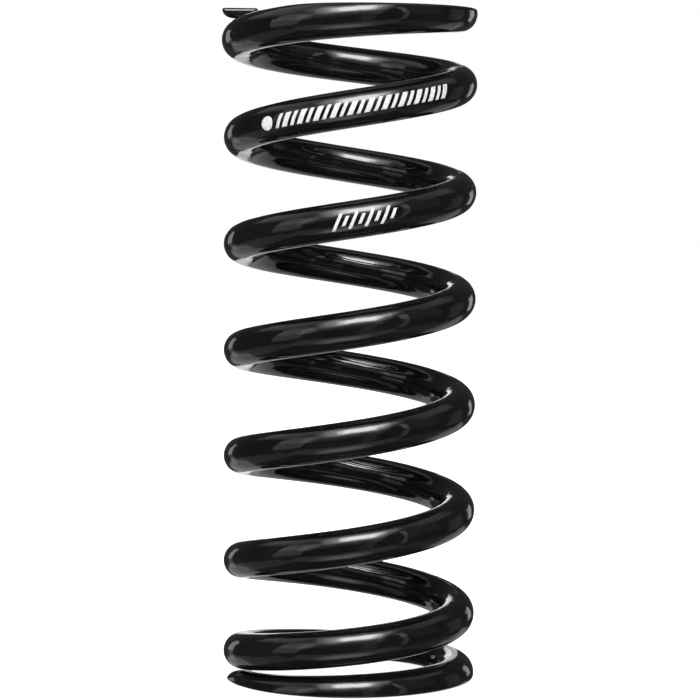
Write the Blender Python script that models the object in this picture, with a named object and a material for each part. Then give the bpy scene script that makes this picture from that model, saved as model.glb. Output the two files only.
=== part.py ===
"""Coil spring of a mountain bike's rear shock: one round steel wire, wound right-handed,
with closed and ground ends, coated gloss black.

The spring stands on its lower ground face with its axis on +Z. The wire is divided by
vertical cuts through the axis, so that each length of it can ride down its own share of
the travel when the spring is compressed. Both ends are single pieces, and the open coils
between them are quarter turns, each named by its coil and by the side that it is on.
Azimuth 0 is +X, the right side; -Y is the front.
"""

import math

import bmesh
import bpy
from mathutils import Vector

MM = 0.001

# Driving dimensions, in millimetres
COIL_RADIUS = 22.0
WIRE_RADIUS = 3.75
FREE_LENGTH = 136.5
CUT_GAP = 0.3

# The wire's two tips, in degrees of winding from +X
LOWER_TIP = 191.0
UPPER_TIP = 3070.0

# Cuts between the pieces, in degrees of winding: each quarter turn faces a side squarely
FIRST_CUT = 675.0
LAST_CUT = 2565.0
QUARTER = 90.0
TURN = 360.0

# Heights that steer the centre of the wire, one each quarter turn of winding from
# STEERED_FROM. The wire leaves each ground face slowly, so that the end coil closes on its
# neighbour, and then climbs to the open coils' pitch. Heights at the open coils are evenly
# spaced between the two lists.
STEERED_FROM = 90.0
LOWER_HEIGHTS = (-5.8, -2.3, 0.7, 0.9, 1.2, 5.0, 9.8, 13.0, 17.8, 23.8, 29.6, 34.5)
UPPER_HEIGHTS = (115.8, 121.6, 126.2, 130.1, 133.9, 135.7, 137.0, 138.1, 138.9)
OPEN_QUARTERS = 14

# Mesh fineness
WIRE_SIDES = 16
RING_STEP = 9.0

# Coils are counted from the bottom, and each begins where the wire comes round to the front
FRONT_BEGINS = 225.0
SIDES = ("front", "right", "back", "left")


def steering_heights():
    """All steering heights from the lower tip to the upper one."""
    low, high = LOWER_HEIGHTS[-1], UPPER_HEIGHTS[0]
    steps = OPEN_QUARTERS + 1
    open_coils = tuple(low + (high - low) * k / steps for k in range(1, steps))
    return LOWER_HEIGHTS + open_coils + UPPER_HEIGHTS


HEIGHTS = steering_heights()


def wire_height(winding):
    """Height of the wire's centre: a uniform cubic B-spline through the quarter turns."""
    along = (winding - STEERED_FROM) / QUARTER - 1
    span = min(max(int(along), 0), len(HEIGHTS) - 4)
    t = along - span
    weights = (
        (1 - t) ** 3,
        3 * t**3 - 6 * t**2 + 4,
        -3 * t**3 + 3 * t**2 + 3 * t + 1,
        t**3,
    )
    return sum(w * h for w, h in zip(weights, HEIGHTS[span:], strict=False)) / 6


def wire_slope(winding):
    """Rise of the wire's centre per millimetre of its run round the axis."""
    step = 1.0
    run = math.radians(2 * step) * COIL_RADIUS
    return (wire_height(winding + step) - wire_height(winding - step)) / run


def add_ring(bm, winding):
    """One section of the wire in the vertical plane through the axis."""
    azimuth = math.radians(winding)
    outward = Vector((math.cos(azimuth), math.sin(azimuth), 0))
    centre = outward * COIL_RADIUS + Vector((0, 0, wire_height(winding)))
    # a vertical cut through a climbing wire is an ellipse, taller than the wire
    tall = WIRE_RADIUS * math.hypot(1, wire_slope(winding))
    ring = []
    for k in range(WIRE_SIDES):
        turn = 2 * math.pi * k / WIRE_SIDES
        offset = outward * WIRE_RADIUS * math.cos(turn) + Vector((0, 0, tall * math.sin(turn)))
        ring.append(bm.verts.new((centre + offset) * MM))
    return ring


def sweep_wire(start, end):
    """A closed length of round wire between two windings."""
    bm = bmesh.new()
    steps = round((end - start) / RING_STEP)
    rings = [add_ring(bm, start + (end - start) * k / steps) for k in range(steps + 1)]
    for near, far in zip(rings, rings[1:], strict=False):
        for k in range(WIRE_SIDES):
            after = (k + 1) % WIRE_SIDES
            bm.faces.new((near[k], far[k], far[after], near[after]))
    bm.faces.new(rings[0])
    bm.faces.new(reversed(rings[-1]))
    bmesh.ops.recalc_face_normals(bm, faces=bm.faces)
    return bm


def grind(bm, height, up):
    """Grinds the wire flat at a height: what lies past it is gone, and the cut is a face."""
    cut = bmesh.ops.bisect_plane(
        bm,
        geom=bm.verts[:] + bm.edges[:] + bm.faces[:],
        dist=1e-7,
        plane_co=(0, 0, height * MM),
        plane_no=(0, 0, up),
        clear_outer=True,
    )
    rim = [item for item in cut["geom_cut"] if isinstance(item, bmesh.types.BMEdge)]
    bmesh.ops.edgeloop_fill(bm, edges=rim)
    bmesh.ops.recalc_face_normals(bm, faces=bm.faces)


def coated_steel(name):
    """Gloss black powder coat over the steel wire."""
    material = bpy.data.materials.new(f"{name}_black_coat")
    material.use_nodes = True
    shader = material.node_tree.nodes["Principled BSDF"]
    shader.inputs["Base Color"].default_value = (0.008, 0.008, 0.009, 1)
    shader.inputs["Metallic"].default_value = 0.0
    shader.inputs["Roughness"].default_value = 0.16
    return material


def add_piece(name, bm):
    """Makes one named object, whose origin is on the spring's axis, along which it moves."""
    mesh = bpy.data.meshes.new(name)
    bm.to_mesh(mesh)
    bm.free()
    mesh.materials.append(coated_steel(name))
    mesh.shade_smooth()
    mesh.set_sharp_from_angle(angle=math.radians(50))
    bpy.context.collection.objects.link(bpy.data.objects.new(name, mesh))


def build_lower_end_coil(half_gap):
    """The closed coil that the spring stands on, ground flat underneath."""
    bm = sweep_wire(LOWER_TIP, FIRST_CUT - half_gap)
    grind(bm, 0.0, -1)
    add_piece("lower_end_coil", bm)


def build_upper_end_coil(half_gap):
    """The closed coil at the top, ground flat above."""
    bm = sweep_wire(LAST_CUT + half_gap, UPPER_TIP)
    grind(bm, FREE_LENGTH, 1)
    add_piece("upper_end_coil", bm)


def build_open_coils(half_gap):
    """The quarter turns between the ends, named by coil and side."""
    for k in range(round((LAST_CUT - FIRST_CUT) / QUARTER)):
        start = FIRST_CUT + k * QUARTER
        coil, turned = divmod(start - FRONT_BEGINS, TURN)
        name = f"coil_{int(coil) + 1}_{SIDES[int(turned / QUARTER)]}"
        add_piece(name, sweep_wire(start + half_gap, start + QUARTER - half_gap))


def main():
    for thing in list(bpy.data.objects):
        bpy.data.objects.remove(thing, do_unlink=True)
    # the gap is narrowest at the inside of the coil
    half_gap = math.degrees(CUT_GAP / 2 / (COIL_RADIUS - WIRE_RADIUS))
    build_lower_end_coil(half_gap)
    build_open_coils(half_gap)
    build_upper_end_coil(half_gap)


main()
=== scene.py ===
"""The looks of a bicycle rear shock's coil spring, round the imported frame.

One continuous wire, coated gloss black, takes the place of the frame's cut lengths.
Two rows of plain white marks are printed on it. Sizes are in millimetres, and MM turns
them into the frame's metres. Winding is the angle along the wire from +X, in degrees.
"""

import math

import bpy
import numpy as np
from mathutils import Matrix, Vector


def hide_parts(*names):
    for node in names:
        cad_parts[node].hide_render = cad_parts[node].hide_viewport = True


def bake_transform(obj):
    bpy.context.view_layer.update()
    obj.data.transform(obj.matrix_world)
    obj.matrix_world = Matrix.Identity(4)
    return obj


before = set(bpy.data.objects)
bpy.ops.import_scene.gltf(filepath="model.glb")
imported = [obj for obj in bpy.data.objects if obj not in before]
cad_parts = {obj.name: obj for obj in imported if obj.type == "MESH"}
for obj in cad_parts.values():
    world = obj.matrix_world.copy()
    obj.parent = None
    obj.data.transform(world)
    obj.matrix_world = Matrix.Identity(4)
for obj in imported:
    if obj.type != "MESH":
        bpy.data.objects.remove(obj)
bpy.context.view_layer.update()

MM = 0.001

# The wire's driving dimensions, as in the part's own design
COIL_RADIUS = 22.0
WIRE_RADIUS = 3.75
FREE_LENGTH = 136.5
LOWER_TIP = 191.0
UPPER_TIP = 3070.0
FIRST_CUT = 675.0
LAST_CUT = 2565.0
QUARTER = 90.0
STEERED_FROM = 90.0
LOWER_HEIGHTS = (-5.8, -2.3, 0.7, 0.9, 1.2, 5.0, 9.8, 13.0, 17.8, 23.8, 29.6, 34.5)
UPPER_HEIGHTS = (115.8, 121.6, 126.2, 130.1, 133.9, 135.7, 137.0, 138.1, 138.9)
OPEN_QUARTERS = 14

# Fineness of the wire's mesh: degrees between rings, and points round each
RING_STEP = 2.0
SECTION_POINTS = 80
# The outline is traced along this many rays, each FAR_OUTSIDE long and halved so many times
TRACE_POINTS = 480
TRACE_HALVINGS = 26
FAR_OUTSIDE = 3 * WIRE_RADIUS

# The coat rounds the rims of the ground faces, and more so over the last degrees to a tip
GROUND_RIM = 0.35
TIP_RIM = 0.6
TIP_RIM_OVER = 14.0
# The end faces are rounded off by this much, or by this share of a thinner tip's half height
TIP_ROUND = 0.75
TIP_ROUND_SHARE = 0.85
TIP_RINGS = 9
# The top coil is wound slightly wider at its left, and both tips stand proud of their coils
WIDER_BY = 0.45
WIDEST_AT = 2690.0
WIDER_OVER = 110.0
LOWER_SPREAD = 0.15
UPPER_SPREAD = 0.6
SPREAD_OVER = 85.0
# The shear that cut the wire pressed its tips a little square. The outline is a circle where
# its power is 2, and squarer where it is more
ROUND_POWER = 2.0
LOWER_TIP_POWER = 2.7
UPPER_TIP_POWER = 3.8
SQUARE_OVER = 30.0

# Over this winding each side of a cut, the share of the travel eases in or out
SHARE_EASE = 45.0

# Printed marks: how much they lean, how far they stand proud, and their fineness
MARK_LEAN = 0.45
MARK_LIFT = 0.04
MARK_STEP = 0.3
MARK_RINGS = (1.0, 0.75, 0.5, 0.25)
DOT_SIDES = 40
# Each row climbs across the wire by this much of its length, about a point that is this
# many radians over the wire's outer side
ROW_TURN = 0.03
ROW_CLIMB = 0.03
# The long row: a dot, then bars with even gaps, narrow and wide in turn
LONG_ROW_AT = 2430.0
DOT_AT = -17.8
DOT_ACROSS = 2.8
BARS = 22
BARS_FROM = -15.2
NARROW_BAR = 0.75
WIDE_BAR = 1.15
BAR_GAP = 0.75
BAR_HIGH = 2.7
# The short row: ticks, tall and short in turn
SHORT_ROW_AT = 2077.0
TICKS = 8
TICK_PITCH = 1.6
TICK_WIDE = 0.7
TALL_TICK = 3.4
SHORT_TICK = 1.9

# The camera stands in front, a little above the middle, and looks slightly down
CAMERA_AT = (0.1, -575.5, 104.45)
CAMERA_LENS = 144.9
CAMERA_DOWN = 3.71
CAMERA_ROLL = 0.2

# How bright the dim room is, against the white that the camera sees
ROOM_GLOW = 0.058

# The floor, in metres: its reach, how far it is under the spring, and where its glow fades to a
# painted shade round the spring
FLOOR_REACH = 3.0
FLOOR_DROP = 0.0002
FLOOR_SHADE_WITHIN = 0.05
FLOOR_SHADE_GONE_FROM = 0.3
# Painted shade: the floor's glow right under the spring, dimmer whether or not anything shades it
FLOOR_SHADED_GLOW = 0.85


def steering_heights():
    """All steering heights of the wire's centre, one each quarter turn."""
    low, high = LOWER_HEIGHTS[-1], UPPER_HEIGHTS[0]
    between = np.linspace(low, high, OPEN_QUARTERS + 2)[1:-1]
    return np.concatenate((LOWER_HEIGHTS, between, UPPER_HEIGHTS))


HEIGHTS = steering_heights()


def wire_height(winding):
    """Height of the wire's centre: a uniform cubic B-spline through the quarter turns."""
    along = (np.asarray(winding, float) - STEERED_FROM) / QUARTER - 1
    span = np.clip(along.astype(int), 0, len(HEIGHTS) - 4)
    t = along - span
    return (
        (1 - t) ** 3 * HEIGHTS[span]
        + (3 * t**3 - 6 * t**2 + 4) * HEIGHTS[span + 1]
        + (-3 * t**3 + 3 * t**2 + 3 * t + 1) * HEIGHTS[span + 2]
        + t**3 * HEIGHTS[span + 3]
    ) / 6


def wire_slope(winding):
    """Rise of the wire's centre per millimetre of its run round the axis."""
    step = 0.5
    run = math.radians(2 * step) * COIL_RADIUS
    return (wire_height(winding + step) - wire_height(winding - step)) / run


def travel_share(winding):
    """How much of the upper end's travel each winding takes: 0 below, 1 above, even between."""
    even = (np.asarray(winding, float) - FIRST_CUT) / (LAST_CUT - FIRST_CUT)
    ease = SHARE_EASE / (LAST_CUT - FIRST_CUT)

    def eased_up(share):
        # follows 0 before -ease and the share itself after +ease, with no kink between
        easing = (share + ease) ** 2 / (4 * ease)
        return np.where(share < -ease, 0, np.where(share > ease, share, easing))

    return np.where(even < 0.5, eased_up(even), 1 - eased_up(1 - even))


def coil_radius(winding):
    """Radius of the wire's centre: even, but for the top coil and the tips."""
    wider = WIDER_BY * np.exp(-(((winding - WIDEST_AT) / WIDER_OVER) ** 2))
    near_lower = np.clip(1 - (winding - LOWER_TIP) / SPREAD_OVER, 0, 1)
    near_upper = np.clip(1 - (UPPER_TIP - winding) / SPREAD_OVER, 0, 1)
    return COIL_RADIUS + wider + LOWER_SPREAD * near_lower**2 + UPPER_SPREAD * near_upper**2


def wire_surface(winding, turn, lift=0.0):
    """Radial and height of a point on the round wire, in the vertical plane at a winding.

    Turn is the angle from the wire's outer side up over its top, in radians. Lift is how
    far the point stands off the surface.
    """
    thick = WIRE_RADIUS + lift
    # a vertical cut through a climbing wire is an ellipse, taller than the wire
    tall = thick * np.hypot(1, wire_slope(winding))
    return coil_radius(winding) + thick * np.cos(turn), wire_height(winding) + tall * np.sin(turn)


def rounded_corner(one, other, rim):
    """The greater of two depths, with the corner where they meet rounded over rim."""
    return np.maximum(one, other) + np.maximum(rim - np.abs(one - other), 0) ** 2 / (4 * rim)


def section(winding):
    """The wire's outline in the vertical plane through the axis at a winding.

    Points (radial, height), evenly spaced along the outline, from the outer side up over
    the top. The ground faces cut it flat, with a rounded rim. The outline is found along
    rays from its middle, by halving the step between a point inside and one outside, again
    and again.
    """
    centre = float(wire_height(winding))
    stretch = math.hypot(1, float(wire_slope(winding)))
    low = max(centre - WIRE_RADIUS * stretch, 0)
    high = min(centre + WIRE_RADIUS * stretch, FREE_LENGTH)
    from_tip = min(winding - LOWER_TIP, UPPER_TIP - winding)
    rim = GROUND_RIM + (TIP_RIM - GROUND_RIM) * max(1 - from_tip / TIP_RIM_OVER, 0)
    tip_power = LOWER_TIP_POWER if winding < FIRST_CUT else UPPER_TIP_POWER
    power = ROUND_POWER + (tip_power - ROUND_POWER) * max(1 - from_tip / SQUARE_OVER, 0) ** 2
    turn = np.linspace(0, 2 * np.pi, TRACE_POINTS + 1)
    inside, outside = np.zeros_like(turn), np.full_like(turn, FAR_OUTSIDE)
    for _ in range(TRACE_HALVINGS):
        reach = (inside + outside) / 2
        across = reach * np.cos(turn)
        height = (low + high) / 2 + reach * np.sin(turn)
        above = (height - centre) / stretch
        past_round = (np.abs(across) ** power + np.abs(above) ** power) ** (1 / power) - WIRE_RADIUS
        past_ground = np.maximum(-height, height - FREE_LENGTH)
        within = rounded_corner(past_round, past_ground, rim) < 0
        inside, outside = np.where(within, reach, inside), np.where(within, outside, reach)
    radial = coil_radius(winding) + across
    length = np.concatenate(([0], np.cumsum(np.hypot(np.diff(radial), np.diff(height)))))
    at = np.linspace(0, length[-1], SECTION_POINTS, endpoint=False)
    return np.interp(at, length, radial), np.interp(at, length, height)


def placed(winding, radial, height):
    """World points in metres."""
    azimuth = np.radians(winding)
    return np.column_stack((radial * np.cos(azimuth), radial * np.sin(azimuth), height)) * MM


def tip_rings(tip, inward):
    """The sections that round a blunt tip off, from the full wire to the end face."""
    radial, height = section(tip + inward * math.degrees(TIP_ROUND / COIL_RADIUS))
    middle = ((radial.max() + radial.min()) / 2, (height.max() + height.min()) / 2)
    half = ((radial.max() - radial.min()) / 2, (height.max() - height.min()) / 2)
    round_off = min(TIP_ROUND, TIP_ROUND_SHARE * min(half))
    rings = []
    for k in range(TIP_RINGS + 1):
        angle = math.pi / 2 * k / TIP_RINGS
        drop = round_off * (1 - math.cos(angle))
        back = round_off * (1 - math.sin(angle))
        rings.append(
            placed(
                tip + inward * math.degrees(back / COIL_RADIUS),
                middle[0] + (radial - middle[0]) * (1 - drop / half[0]),
                middle[1] + (height - middle[1]) * (1 - drop / half[1]),
            )
        )
    return rings


def new_object(name, verts, faces):
    """A smooth-shaded mesh object in the scene."""
    mesh = bpy.data.meshes.new(name)
    mesh.from_pydata([tuple(v) for v in verts], [], faces)
    mesh.validate()
    mesh.shade_smooth()
    thing = bpy.data.objects.new(name, mesh)
    bpy.context.scene.collection.objects.link(thing)
    return thing


def tube_faces(rings, points):
    """Quads between closed rings, with a face over each end."""
    faces = []
    for r in range(rings - 1):
        for k in range(points):
            after = (k + 1) % points
            a, b = r * points, (r + 1) * points
            faces.append((a + k, b + k, b + after, a + after))
    faces.append(tuple(range(points)))
    faces.append(tuple(reversed(range((rings - 1) * points, rings * points))))
    return faces


def bend_with_coils(thing, winding):
    """Bakes the piece's transform into its mesh, and works out each vertex's share of the travel
    between the end coils from its winding. The shares are not set on the piece.
    """
    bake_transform(thing)
    shares = travel_share(winding).astype(np.float32)


def build_wire():
    """The whole wire as one closed tube with ground faces and rounded tips."""
    inset = math.degrees(TIP_ROUND / COIL_RADIUS)
    steps = round((UPPER_TIP - LOWER_TIP) / RING_STEP)
    windings = np.linspace(LOWER_TIP + 2 * inset, UPPER_TIP - 2 * inset, steps)
    lower = tip_rings(LOWER_TIP, 1)[::-1]
    upper = tip_rings(UPPER_TIP, -1)
    rings = lower + [placed(w, *section(w)) for w in windings] + upper
    thing = new_object("spring_wire", np.concatenate(rings), tube_faces(len(rings), SECTION_POINTS))
    along = np.concatenate(([LOWER_TIP] * len(lower), windings, [UPPER_TIP] * len(upper)))
    bend_with_coils(thing, np.repeat(along, SECTION_POINTS))
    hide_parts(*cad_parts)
    return thing


def bar_outline(middle, wide, high):
    """Corners of one slanted bar, as (along the wire, up across it), in millimetres."""
    lean = MARK_LEAN * high / 2
    low, top = -high / 2, high / 2
    left, right = middle - wide / 2, middle + wide / 2
    return ((left - lean, low), (right - lean, low), (right + lean, top), (left + lean, top))


def dot_outline(middle, across):
    """A round dot, in the same form."""
    turns = np.linspace(0, 2 * np.pi, DOT_SIDES, endpoint=False)
    return tuple((middle + across / 2 * math.cos(a), across / 2 * math.sin(a)) for a in turns)


def subdivided(outline):
    """The outline with extra points along its sides, so that it can follow the round wire."""
    corners = np.array(outline)
    points = []
    for here, there in zip(corners, np.roll(corners, -1, 0)):
        pieces = max(1, round(math.dist(here, there) / MARK_STEP))
        points += [here + (there - here) * k / pieces for k in range(pieces)]
    return np.array(points)


def film_faces(first, count):
    """Faces of one mark's closed film. Its rings of count points begin at point first.

    The rings on top come first, from the outline to the middle, then those underneath.
    """
    rings = len(MARK_RINGS)
    under = first + rings * count
    faces = []
    for r in range(rings - 1):
        inner, outer = (r + 1) * count, r * count
        for k in range(count):
            after = (k + 1) % count
            a, b = first + outer, first + inner
            faces.append((a + k, a + after, b + after, b + k))
            a, b = under + outer, under + inner
            faces.append((a + k, b + k, b + after, a + after))
    middle = (rings - 1) * count
    faces.append(tuple(first + middle + k for k in range(count)))
    faces.append(tuple(under + middle + k for k in reversed(range(count))))
    for k in range(count):
        after = (k + 1) % count
        faces.append((first + k, under + k, under + after, first + after))
    return faces


def build_mark_row(name, winding, outlines):
    """A row of flat marks printed on the outer side of the wire, centred on a winding.

    Each mark is a closed film of ink: rings of points shrink from its outline towards its
    middle on top, and again underneath, just inside the wire.
    """
    points, windings, faces = [], [], []
    for outline in map(subdivided, outlines):
        middle = outline.mean(0)
        faces += film_faces(len(windings), len(outline))
        for lift in (MARK_LIFT, -MARK_LIFT):
            for scale in MARK_RINGS:
                along, up = (middle + (outline - middle) * scale).T
                at = winding + np.degrees(along / (COIL_RADIUS + WIRE_RADIUS))
                turn = ROW_TURN + (up + ROW_CLIMB * along) / WIRE_RADIUS
                radial, height = wire_surface(at, turn, lift)
                points.append(placed(at, radial, height))
                windings.extend(at)
    thing = new_object(name, np.concatenate(points), faces)
    bend_with_coils(thing, np.array(windings))
    return thing


def long_row_outlines():
    """A dot, then slanted bars, narrow and wide in turn."""
    outlines = [dot_outline(DOT_AT, DOT_ACROSS)]
    at = BARS_FROM
    for k in range(BARS):
        wide = WIDE_BAR if k % 2 else NARROW_BAR
        outlines.append(bar_outline(at + wide / 2, wide, BAR_HIGH))
        at += wide + BAR_GAP
    return outlines


def short_row_outlines():
    """Slanted ticks like those of a scale, tall and short in turn, centred on the row."""
    outlines = []
    for k in range(TICKS):
        middle = (k - (TICKS - 1) / 2) * TICK_PITCH
        outlines.append(bar_outline(middle, TICK_WIDE, SHORT_TICK if k % 2 else TALL_TICK))
    return outlines


def add_noise(material, scale, detail=2.0, roughness=0.5):
    """A noise texture on the object's own coordinates. Scale is in waves per metre."""
    nodes, links = material.node_tree.nodes, material.node_tree.links
    noise = nodes.new("ShaderNodeTexNoise")
    noise.inputs["Scale"].default_value = scale
    noise.inputs["Detail"].default_value = detail
    noise.inputs["Roughness"].default_value = roughness
    links.new(nodes.new("ShaderNodeTexCoord").outputs["Object"], noise.inputs["Vector"])
    return noise


def vary(material, noise, socket, low, high):
    """Lets a socket of the shader run from low to high with a noise.

    The noise hardly leaves the range from 0.3 to 0.7, so that range is the one spread out.
    """
    nodes, links = material.node_tree.nodes, material.node_tree.links
    span = nodes.new("ShaderNodeMapRange")
    span.inputs["From Min"].default_value = 0.3
    span.inputs["From Max"].default_value = 0.7
    span.inputs["To Min"].default_value = low
    span.inputs["To Max"].default_value = high
    links.new(noise.outputs["Fac"], span.inputs["Value"])
    links.new(span.outputs["Result"], nodes["Principled BSDF"].inputs[socket])


def add_bump(material, noise, depth, under=None):
    """Raises the surface by up to depth millimetres with a noise, over another bump."""
    nodes, links = material.node_tree.nodes, material.node_tree.links
    bump = nodes.new("ShaderNodeBump")
    bump.inputs["Distance"].default_value = depth * MM
    links.new(noise.outputs["Fac"], bump.inputs["Height"])
    if under:
        links.new(under.outputs["Normal"], bump.inputs["Normal"])
    return bump


def new_material(name):
    """A material with nodes, which starts as a plain Principled BSDF."""
    material = bpy.data.materials.new(name)
    material.use_nodes = True
    return material


def black_coat():
    """Gloss black powder coat: a faint flow and orange peel, and a gloss that varies a little."""
    material = new_material("gloss_black_coat")
    nodes, links = material.node_tree.nodes, material.node_tree.links
    shader = nodes["Principled BSDF"]
    vary(material, add_noise(material, 90), "Base Color", 0.002, 0.004)
    vary(material, add_noise(material, 260), "Roughness", 0.03, 0.07)
    flow = add_bump(material, add_noise(material, 220, 1.0), 0.1)
    peel = add_bump(material, add_noise(material, 700, 2.0), 0.018, flow)
    links.new(peel.outputs["Normal"], shader.inputs["Normal"])
    return material


def white_ink():
    """White pad-printed ink, thin enough for the black under it to mottle it."""
    material = new_material("white_print_ink")
    nodes, links = material.node_tree.nodes, material.node_tree.links
    vary(material, add_noise(material, 1800, 3.0), "Base Color", 0.37, 0.51)
    vary(material, add_noise(material, 700), "Roughness", 0.3, 0.45)
    grain = add_bump(material, add_noise(material, 2500, 3.0), 0.004)
    links.new(grain.outputs["Normal"], nodes["Principled BSDF"].inputs["Normal"])
    return material


def aim(thing, at, target):
    """Places a light or camera, and turns it to look at a point."""
    thing.location = at
    thing.rotation_euler = (Vector(target) - Vector(at)).to_track_quat("-Z", "Y").to_euler()


def soft_edges(light, soft_across, soft_up):
    """Fades a panel's glow to nothing over this share of the way from its edges in."""
    light.use_nodes = True
    nodes, links = light.node_tree.nodes, light.node_tree.links
    where = nodes.new("ShaderNodeSeparateXYZ")
    links.new(nodes.new("ShaderNodeNewGeometry").outputs["Parametric"], where.inputs[0])
    glow = nodes.new("ShaderNodeMath")
    glow.operation = "MULTIPLY"
    for k, soft in enumerate((soft_across, soft_up)):
        off_centre = nodes.new("ShaderNodeMath")
        off_centre.operation = "SUBTRACT"
        off_centre.inputs[1].default_value = 0.5
        distance = nodes.new("ShaderNodeMath")
        distance.operation = "ABSOLUTE"
        fade = nodes.new("ShaderNodeMapRange")
        fade.interpolation_type = "SMOOTHSTEP"
        fade.inputs["From Min"].default_value = 0.5
        fade.inputs["From Max"].default_value = 0.5 * (1 - soft)
        links.new(where.outputs[k], off_centre.inputs[0])
        links.new(off_centre.outputs[0], distance.inputs[0])
        links.new(distance.outputs[0], fade.inputs["Value"])
        links.new(fade.outputs["Result"], glow.inputs[k])
    links.new(glow.outputs[0], nodes["Emission"].inputs["Strength"])


def add_softbox(name, azimuth, elevation, half_wide, half_high, radiance, soft_across, soft_up):
    """A soft panel one metre from the spring, as it sees it, in degrees.

    Azimuth 0 is towards the camera, and positive to its right.
    """
    wide = 2 * math.tan(math.radians(half_wide))
    high = 2 * math.tan(math.radians(half_high))
    light = bpy.data.lights.new(name, "AREA")
    light.shape = "RECTANGLE"
    light.size, light.size_y = wide, high
    light.energy = math.pi * radiance * wide * high
    soft_edges(light, soft_across, soft_up)
    thing = bpy.data.objects.new(name, light)
    bpy.context.scene.collection.objects.link(thing)
    a, e = math.radians(azimuth), math.radians(elevation)
    centre = Vector((0, 0, FREE_LENGTH / 2 * MM))
    out = Vector((math.sin(a) * math.cos(e), -math.cos(a) * math.cos(e), math.sin(e)))
    aim(thing, centre + out, centre)
    thing.visible_camera = False


# name, azimuth, elevation, half width, half height, radiance, softness across, softness up
SOFTBOXES = (
    ("key", 2, 56, 20, 17, 14, 0.6, 0.6),
    ("key_glow", -2, 57, 32, 29, 3.8, 0.6, 0.6),
    ("left_wall", -59, 14, 16, 30, 0.58, 0.1, 0.6),
    ("left_wall_top", -58, 31, 17, 17, 0.45, 0.1, 0.5),
    ("left_wall_inner", -44, 25, 9, 16, 0.65, 0.5, 0.5),
    ("right_strip", 51, 2, 3.5, 26, 0.48, 0.3, 0.4),
    ("right_strip_top", 50, 34, 3.5, 15, 1.1, 0.3, 0.4),
    ("right_spot", 24, 22, 4, 9, 0.25, 0.4, 0.4),
    ("front_pillar", 17, -2, 7, 24, 0.2, 0.3, 0.4),
    ("front_high", -5, 27, 36, 11, 0.36, 0.4, 0.5),
    ("right_room", 72, 25, 18, 24, 0.1, 0.3, 0.3),
    ("right_wall", 112, 2, 12, 20, 0.15, 0.3, 0.3),
    ("back_left", -140, 2, 6, 12, 0.9, 0.2, 0.3),
    ("back_left_low", -138, -20, 5, 12, 0.25, 0.3, 0.3),
    ("back_right", 143, 2, 6, 12, 1.05, 0.2, 0.3),
    ("back", -179, -2, 8, 21, 0.95, 0.2, 0.3),
    ("back_high", -175, 9, 5, 9, 1.0, 0.3, 0.3),
    ("upper_left", -84, 58, 42, 24, 0.35, 0.3, 0.4),
    ("upper_right", 80, 58, 36, 20, 0.1, 0.5, 0.5),
    ("upper_back", 180, 75, 50, 30, 0.28, 0.3, 0.5),
    ("floor_front", 0, -49, 26, 18, 1.3, 0.8, 0.8),
    ("floor_front_ring", 0, -42, 48, 18, 0.36, 0.3, 0.3),
    ("floor_left", -94, -38, 32, 17, 0.22, 0.2, 0.3),
    ("floor_right", 95, -38, 32, 14, 0.12, 0.3, 0.4),
    ("floor_back", 180, -40, 50, 20, 0.45, 0.2, 0.3),
)


def add_world():
    """White to the camera, and a dim room to everything else."""
    world = bpy.data.worlds.new("studio")
    bpy.context.scene.world = world
    world.use_nodes = True
    nodes, links = world.node_tree.nodes, world.node_tree.links
    dim = nodes["Background"]
    dim.inputs["Color"].default_value = (1, 1, 1, 1)
    dim.inputs["Strength"].default_value = ROOM_GLOW
    white = nodes.new("ShaderNodeBackground")
    white.inputs["Strength"].default_value = 1.0
    white.inputs["Color"].default_value = (1, 1, 1, 1)
    path = nodes.new("ShaderNodeLightPath")
    mix = nodes.new("ShaderNodeMixShader")
    links.new(path.outputs["Is Camera Ray"], mix.inputs["Fac"])
    links.new(dim.outputs[0], mix.inputs[1])
    links.new(white.outputs[0], mix.inputs[2])
    links.new(mix.outputs[0], nodes["World Output"].inputs["Surface"])


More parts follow.
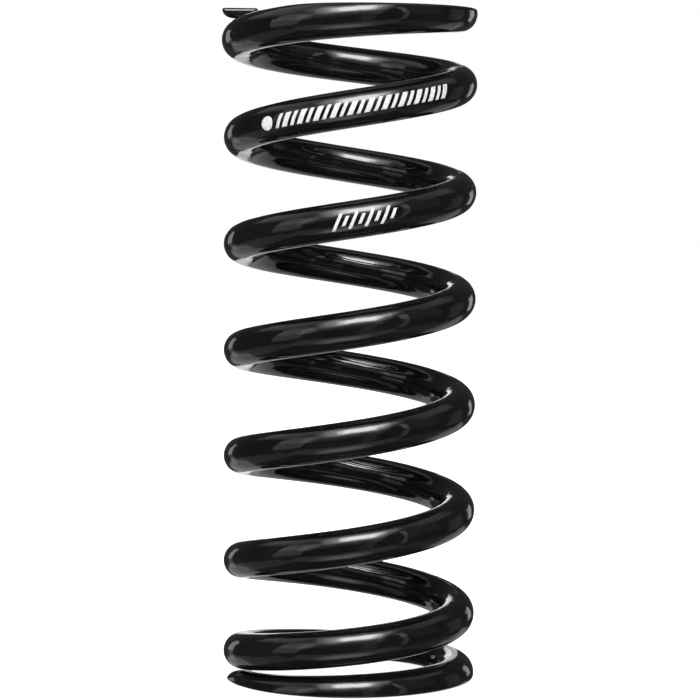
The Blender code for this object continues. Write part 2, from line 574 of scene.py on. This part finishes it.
def add_floor():
    """A white floor with a painted shade: its own glow is a touch less bright right under the
    spring.
    """
    sides = ((-1, -1), (1, -1), (1, 1), (-1, 1))
    corners = [(x * FLOOR_REACH, y * FLOOR_REACH, -FLOOR_DROP) for x, y in sides]
    floor = new_object("floor", corners, [(0, 1, 2, 3)])
    material = new_material("white_floor")
    nodes, links = material.node_tree.nodes, material.node_tree.links
    shader = nodes["Principled BSDF"]
    shader.inputs["Base Color"].default_value = (0.8, 0.8, 0.8, 1)
    shader.inputs["Roughness"].default_value = 0.9
    shader.inputs["Emission Color"].default_value = (1, 1, 1, 1)
    distance = nodes.new("ShaderNodeVectorMath")
    distance.operation = "LENGTH"
    # Painted shade: the glow is dimmer near the spring and full further out
    glow = nodes.new("ShaderNodeMapRange")
    glow.interpolation_type = "SMOOTHSTEP"
    glow.inputs["From Min"].default_value = FLOOR_SHADE_WITHIN
    glow.inputs["From Max"].default_value = FLOOR_SHADE_GONE_FROM
    glow.inputs["To Min"].default_value = FLOOR_SHADED_GLOW
    glow.inputs["To Max"].default_value = 1.0
    links.new(nodes.new("ShaderNodeTexCoord").outputs["Object"], distance.inputs[0])
    links.new(distance.outputs["Value"], glow.inputs["Value"])
    links.new(glow.outputs["Result"], shader.inputs["Emission Strength"])
    floor.data.materials.append(material)
    floor.visible_glossy = False
    floor.visible_shadow = False


def add_camera():
    """A long lens, so that the coils look nearly side-on from top to bottom."""
    camera = bpy.data.cameras.new("camera")
    camera.sensor_width = 36
    camera.lens = CAMERA_LENS
    thing = bpy.data.objects.new("camera", camera)
    bpy.context.scene.collection.objects.link(thing)
    tilt = Matrix.Rotation(math.radians(90 - CAMERA_DOWN), 4, "X")
    roll = Matrix.Rotation(math.radians(CAMERA_ROLL), 4, "Z")
    thing.matrix_world = Matrix.Translation(Vector(CAMERA_AT) * MM) @ (tilt @ roll)
    bpy.context.scene.camera = thing


def main():
    bpy.context.scene.view_settings.view_transform = "Standard"
    wire = build_wire()
    wire.data.materials.append(black_coat())
    for row in (
        build_mark_row("long_mark_row", LONG_ROW_AT, long_row_outlines()),
        build_mark_row("short_mark_row", SHORT_ROW_AT, short_row_outlines()),
    ):
        row.data.materials.append(white_ink())
    add_floor()
    add_world()
    for softbox in SOFTBOXES:
        add_softbox(*softbox)
    add_camera()


main()
